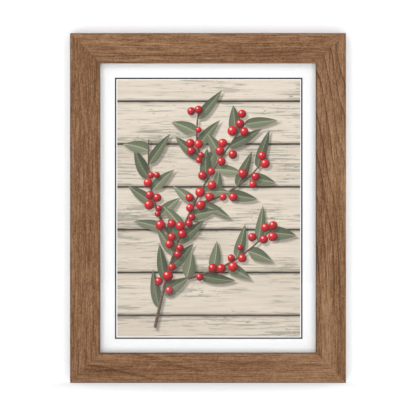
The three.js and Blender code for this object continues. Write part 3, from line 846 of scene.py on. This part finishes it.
HARDBOARD_TONES = (
    (0.0, (0.080, 0.042, 0.021)),
    (0.4, (0.165, 0.092, 0.047)),
    (0.65, (0.230, 0.136, 0.073)),
    (1.0, (0.400, 0.270, 0.165)),
)
BOARD_SPECK = (0.9, 0.9, 0.9)
BOARD_CLOUD = (42, 20, 42)

# Felted fibres: their size, how many ways they lie and how far apart in the noise, and how they are bent
FELT_FIBRE = (13, 60, 1.4)
FELT_WAYS = 5
FELT_STEP = 70
FELT_BEND = (9.0, 0.0, 9.0)
FELT_BENDS_PER_MM = 0.04
PALE_FIBRE = (0.62, 0.76)
DARK_FIBRE = (0.38, 0.25)

# How far these marks change the tone
SPECK_TONE = (-0.05, 0.35)
CLOUD_TONE = 0.6
FELT_TONE = 0.2
FELT_RELIEF = 0.4


def felted_fibres(f, place):
    """Pale and dark fibres that lie over each other in several ways."""
    waves = {"Vector": place, "Scale": FELT_BENDS_PER_MM, "Detail": 1.0}
    drift = f.add("ShaderNodeTexNoise", waves).outputs["Color"]
    bent = f.vector_math("ADD", place, f.vector_math("MULTIPLY", drift, FELT_BEND))
    fibres = 0.0
    for way in range(FELT_WAYS):
        turn = (0, math.pi * way / FELT_WAYS, 0)
        mapping = {"Vector": bent, "Location": (0, FELT_STEP * way, 0), "Rotation": turn}
        laid = f.noise(f.add("ShaderNodeMapping", mapping).outputs[0], FELT_FIBRE)
        fibres = f.sum(fibres, f.less(f.rise(laid, *PALE_FIBRE), f.rise(laid, *DARK_FIBRE)))
    return fibres


def hardboard():
    """Pressed brown fibreboard: clouded, with pale and dark fibres felted over it each way."""
    f = Finish("hardboard")
    place = f.place()
    speck = f.noise(place, BOARD_SPECK, detail=3.0, roughness=0.7)
    cloud = f.noise(place, BOARD_CLOUD, detail=4.0, roughness=0.6)
    fibres = felted_fibres(f, place)
    tone = f.sum(f.between(speck, *SPECK_TONE), f.times(cloud, CLOUD_TONE), f.times(fibres, FELT_TONE))
    return f.finish(
        Base_Color=f.tones(tone, HARDBOARD_TONES),
        Roughness=f.between(cloud, low=0.45, high=0.65),
        Normal=f.relief(f.sum(speck, f.times(fibres, FELT_RELIEF)), depth=0.08, strength=0.4),
        Specular_IOR_Level=0.3,
    )


# Steel

ZINC_TONES = (
    (0.25, (0.36, 0.37, 0.39)),
    (0.5, (0.47, 0.475, 0.475)),
    (0.75, (0.57, 0.56, 0.52)),
)
ZINC_CLOUD = (5, 5, 5)
ZINC_RUB = (9, 0.5, 0.35)
CLOUD_ROUGHNESS = 0.6


def zinc_steel():
    """Zinced steel, faintly clouded, with fine rubbed lines."""
    f = Finish("zinc_steel")
    place = f.place()
    cloud = f.noise(place, ZINC_CLOUD, detail=3.0, roughness=0.6)
    rub = f.noise(place, ZINC_RUB, detail=3.0, roughness=0.6)
    dulled = f.math("MULTIPLY_ADD", cloud, CLOUD_ROUGHNESS, rub)
    return f.finish(
        Base_Color=f.tones(cloud, ZINC_TONES),
        Metallic=1.0,
        Roughness=f.between(dulled, low=0.2, high=0.4),
        Normal=f.relief(rub, depth=0.02, strength=0.3),
    )


# Finishes on the solids

STEEL_PIECES = (
    "v_nail", "turn_button", "button_screw", "hinge", "rivet", "sawtooth_hanger", "hanger_nail",
)


def give(node, material):
    """Puts one finish on a solid."""
    slots = nodes[node].data.materials
    slots.clear()
    slots.append(material)


def dress_solids():
    for name, wood in MOULDING.items():
        give(name, stained_wood(name, wood))
    steel = zinc_steel()
    board = hardboard()
    give("glass_pane", clear_glass())
    give("insert_print", printed_paper())
    give("back_board", board)
    give("easel_leg", board)
    for name in nodes:
        if any(piece in name for piece in STEEL_PIECES):
            give(name, steel)


# Flat sheets, from which the glue and the studio are made

def flat_sheet(size, to_place):
    """One flat face, a unit square stretched to that width and length and moved into place."""
    shape = bmesh.new()
    stretch = Matrix.Diagonal((*size, 1.0, 1.0))
    bmesh.ops.create_grid(shape, x_segments=1, y_segments=1, size=0.5, matrix=to_place @ stretch)
    return shape


def as_object(shape, name, material):
    """Makes a shape an object of the scene."""
    mesh = bpy.data.meshes.new(name)
    shape.to_mesh(mesh)
    shape.free()
    mesh.materials.append(material)
    made = bpy.data.objects.new(name, mesh)
    bpy.context.scene.collection.objects.link(made)
    return made


# Glue in the mitres

GLUE_THICKNESS = 0.06 * MM
GLUE_INSET = 0.5 * MM
GLUE_ROUNDING = 1.5 * MM
GLUE_STEPS = 5
GLUE_MOTTLE = (3, 3, 3)
GLUE_TONES = (
    (0.3, (0.055, 0.026, 0.010)),
    (0.7, (0.120, 0.062, 0.026)),
)


def dried_glue():
    """Brown glue, darkened by the stain."""
    f = Finish("dried_glue")
    mottle = f.noise(f.place(), GLUE_MOTTLE)
    return f.finish(
        Base_Color=f.tones(mottle, GLUE_TONES),
        Roughness=f.between(mottle, low=0.3, high=0.6),
    )


def glue_film(place, inner, outer, material):
    """A thin round-cornered film that fills a mitre from its face down to the nails' tips."""
    across = outer - inner
    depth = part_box("v_nail_" + place + "_1")[0].y - front_y
    shape = flat_sheet((across.length - 2 * GLUE_INSET, depth - 2 * GLUE_INSET), Matrix.Identity(4))
    bmesh.ops.bevel(
        shape, geom=shape.verts[:], offset=GLUE_ROUNDING, affect="VERTICES", segments=GLUE_STEPS,
        profile=0.5, material=-1)
    bmesh.ops.solidify(shape, geom=shape.faces[:], thickness=GLUE_THICKNESS)
    bmesh.ops.translate(shape, verts=shape.verts[:], vec=(0.0, 0.0, GLUE_THICKNESS / 2))
    bmesh.ops.recalc_face_normals(shape, faces=shape.faces[:])
    turn = Matrix.Rotation(math.atan2(-across.z, across.x), 4, "Y")
    into_mitre = Matrix.Translation((inner + outer) / 2 + Vector((0.0, front_y + depth / 2, 0.0)))
    bmesh.ops.transform(shape, matrix=into_mitre @ turn, verts=shape.verts[:])
    film = as_object(shape, "mitre_glue_" + place, material)
    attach(film, "frame")


def glue_mitres():
    glue = dried_glue()
    for height, up in (("bottom", -1), ("top", 1)):
        for side, aside in (("left", -1), ("right", 1)):
            inner, outer = (
                Vector((aside * corner.x, 0.0, middle.z + up * (corner.z - middle.z)))
                for corner in (sight_corner, outer_corner))
            glue_film(height + "_" + side, inner, outer, glue)


# Floor and wall of the studio

WHITE = (1.0, 1.0, 1.0, 1.0)
MATT = {"Roughness": 0.9, "Specular_IOR_Level": 0.0}
FLOOR_SIZE = (8.0, 8.0)
FLOOR_COLOUR = (0.84, 0.85, 0.86, 1.0)
WALL_COLOUR = (0.955, 0.965, 0.98, 1.0)

# The floor glows by its lift near the frame, fully from far away on, and less in a mirror
FLOOR_LIFT = 0.36
FLOOR_NEAR = 30.0
FLOOR_FAR = 900.0
FLOOR_MIRROR_LEVEL = 0.25

# The wall stands behind the hardware, reaches past the frame and is tucked in behind its edges
WALL_LIFT = 0.1
WALL_GAP = 0.5 * MM
WALL_REACH = 90.0 * MM
WALL_TUCK = 7.0 * MM


def floor_finish():
    """Pale floor that shows white far away, and nearby where no shadow falls."""
    f = Finish("pale_floor")
    away = f.vector_math("LENGTH", f.place())
    lift = f.between(f.rise(away, FLOOR_NEAR, FLOOR_FAR), FLOOR_LIFT, 1.0)
    rays = f.rays()
    mirrored = f.times(rays["Is Glossy Ray"], FLOOR_MIRROR_LEVEL)
    seen = f.math("MAXIMUM", f.looked_at(rays), mirrored)
    return f.finish(
        Base_Color=FLOOR_COLOUR,
        Emission_Strength=f.times(seen, lift),
        Emission_Color=WHITE,
        **MATT,
    )


def wall_finish():
    """White wall that only the camera in front of it sees."""
    f = Finish("white_wall")
    f.finish(Base_Color=WALL_COLOUR, Emission_Strength=WALL_LIFT, Emission_Color=WHITE, **MATT)
    shown = f.times(f.rays()["Is Camera Ray"], f.facing())
    return f.mix_shaders(shown, f.add("ShaderNodeBsdfTransparent", {}), f.surface)


def lay_floor():
    ground = Vector((0.0, 0.0, cad_box[0].z))
    floor = as_object(flat_sheet(FLOOR_SIZE, Matrix.Translation(ground)), "floor", floor_finish())
    return floor


def put_up_wall():
    """A rim of wall that shows all round the frame, with nothing behind the frame itself."""
    behind = Vector((0.0, cad_box[1].y + WALL_GAP, middle.z))
    upright = Matrix.Translation(behind) @ Matrix.Rotation(QUARTER_TURN, 4, "X")
    half_size = outer_corner.x + WALL_REACH, outer_corner.z - middle.z + WALL_REACH
    rim = flat_sheet([2 * half for half in half_size], upright)
    sheet = rim.faces[:]
    rim_width = WALL_REACH + WALL_TUCK
    bmesh.ops.inset_region(rim, faces=sheet, thickness=rim_width, use_boundary=True, use_even_offset=True)
    bmesh.ops.delete(rim, geom=sheet, context="FACES")
    as_object(rim, "wall", wall_finish())


# Light of the studio

class Softbox(NamedTuple):
    """A square lamp aimed at the middle of the frame. level is the light it gives a face turned to it."""
    azimuth: float
    elevation: float
    distance: float
    size: float
    level: float


SOFTBOXES = {
    "upper_left": Softbox(azimuth=-17, elevation=22, distance=4.0, size=2.0, level=0.213),
    "upper_right": Softbox(azimuth=17, elevation=22, distance=4.0, size=2.0, level=0.191),
    "lower_left": Softbox(azimuth=-17, elevation=-14, distance=4.0, size=2.0, level=0.237),
    "lower_right": Softbox(azimuth=17, elevation=-14, distance=4.0, size=2.0, level=0.214),
    "overhead": Softbox(azimuth=180, elevation=76, distance=3.0, size=1.2, level=0.32),
    "back_left": Softbox(azimuth=150, elevation=30, distance=2.4, size=1.8, level=0.28),
    "back_right": Softbox(azimuth=210, elevation=20, distance=2.4, size=1.8, level=0.28),
}
LAMP_COLOUR = (0.99, 0.997, 1.0)

# The sky's colour and level as a light, and its level in a mirror that is turned to the front
SKY_COLOUR = (0.91, 0.955, 1.0, 1.0)
WORLD_LEVEL = 0.26
FRONT_MIRROR_LEVEL = 0.25
FRONT_FADE = (-0.95, -0.25)


def hang_softbox(name, box):
    """Hangs a lamp that lights the frame but is not seen itself."""
    turn, lift = math.radians(box.azimuth), math.radians(box.elevation)
    away = Vector((math.sin(turn) * math.cos(lift), -math.cos(turn) * math.cos(lift), math.sin(lift)))
    lamp = bpy.data.lights.new(name, "AREA")
    lamp.shape = "SQUARE"
    lamp.size = box.size
    lamp.color = LAMP_COLOUR
    lamp.energy = box.level * math.pi * math.pi * box.distance * box.distance
    holder = bpy.data.objects.new(name, lamp)
    holder.location = middle + away * box.distance
    holder.rotation_mode = "QUATERNION"
    holder.rotation_quaternion = (-away).to_track_quat("-Z", "Y")
    holder.visible_camera = False
    bpy.context.scene.collection.objects.link(holder)
    return holder


def shine_through(lamp, stage):
    """Lets a lamp's light pass a stage, while all else still blocks it, and keeps it out of mirrors."""
    lamp.visible_glossy = False
    passed = bpy.data.collections.new(lamp.name + "_passes")
    passed.objects.link(stage)
    passed.collection_objects[0].light_linking.link_state = "EXCLUDE"
    lamp.light_linking.blocker_collection = passed


def light_studio(floor):
    """Hangs the lamps. Those that hang below the floor shine through it."""
    for name, box in SOFTBOXES.items():
        lamp = hang_softbox(name + "_softbox", box)
        if box.elevation < 0:
            shine_through(lamp, floor)


def hang_sky():
    """A sky that is white to look at, plainer as a light, and dim in a mirror turned to the front."""
    world = bpy.data.worlds.new("studio")
    world.use_nodes = True
    n = Nodes(world.node_tree)
    rays = n.rays()
    ahead = n.parts(n.add("ShaderNodeTexCoord", {}).outputs["Generated"])["Y"]
    front = n.between(n.rise(ahead, *FRONT_FADE), FRONT_MIRROR_LEVEL, 1.0)
    seen = n.looked_at(rays)
    level = n.between(seen, WORLD_LEVEL, 1.0)
    mirrored = n.times(rays["Is Glossy Ray"], n.less(front, WORLD_LEVEL))
    sky = n.tree.nodes["Background"]
    n.set(sky.inputs["Color"], n.mix(seen, SKY_COLOUR, WHITE))
    n.set(sky.inputs["Strength"], n.sum(level, mirrored))
    bpy.context.scene.world = world


def place_camera():
    eye = bpy.data.cameras.new("camera")
    eye.sensor_width = SENSOR_WIDTH
    eye.lens = SENSOR_WIDTH * CAMERA_DISTANCE / PICTURE_SPAN
    camera = bpy.data.objects.new("camera", eye)
    camera.location = (0.0, front_y - CAMERA_DISTANCE, middle.z)
    camera.rotation_euler = (QUARTER_TURN, 0, 0)
    bpy.context.scene.collection.objects.link(camera)
    bpy.context.scene.camera = camera


dress_solids()
glue_mitres()
floor = lay_floor()
put_up_wall()
light_studio(floor)
hang_sky()
place_camera()
bpy.context.scene.view_settings.view_transform = "Standard"
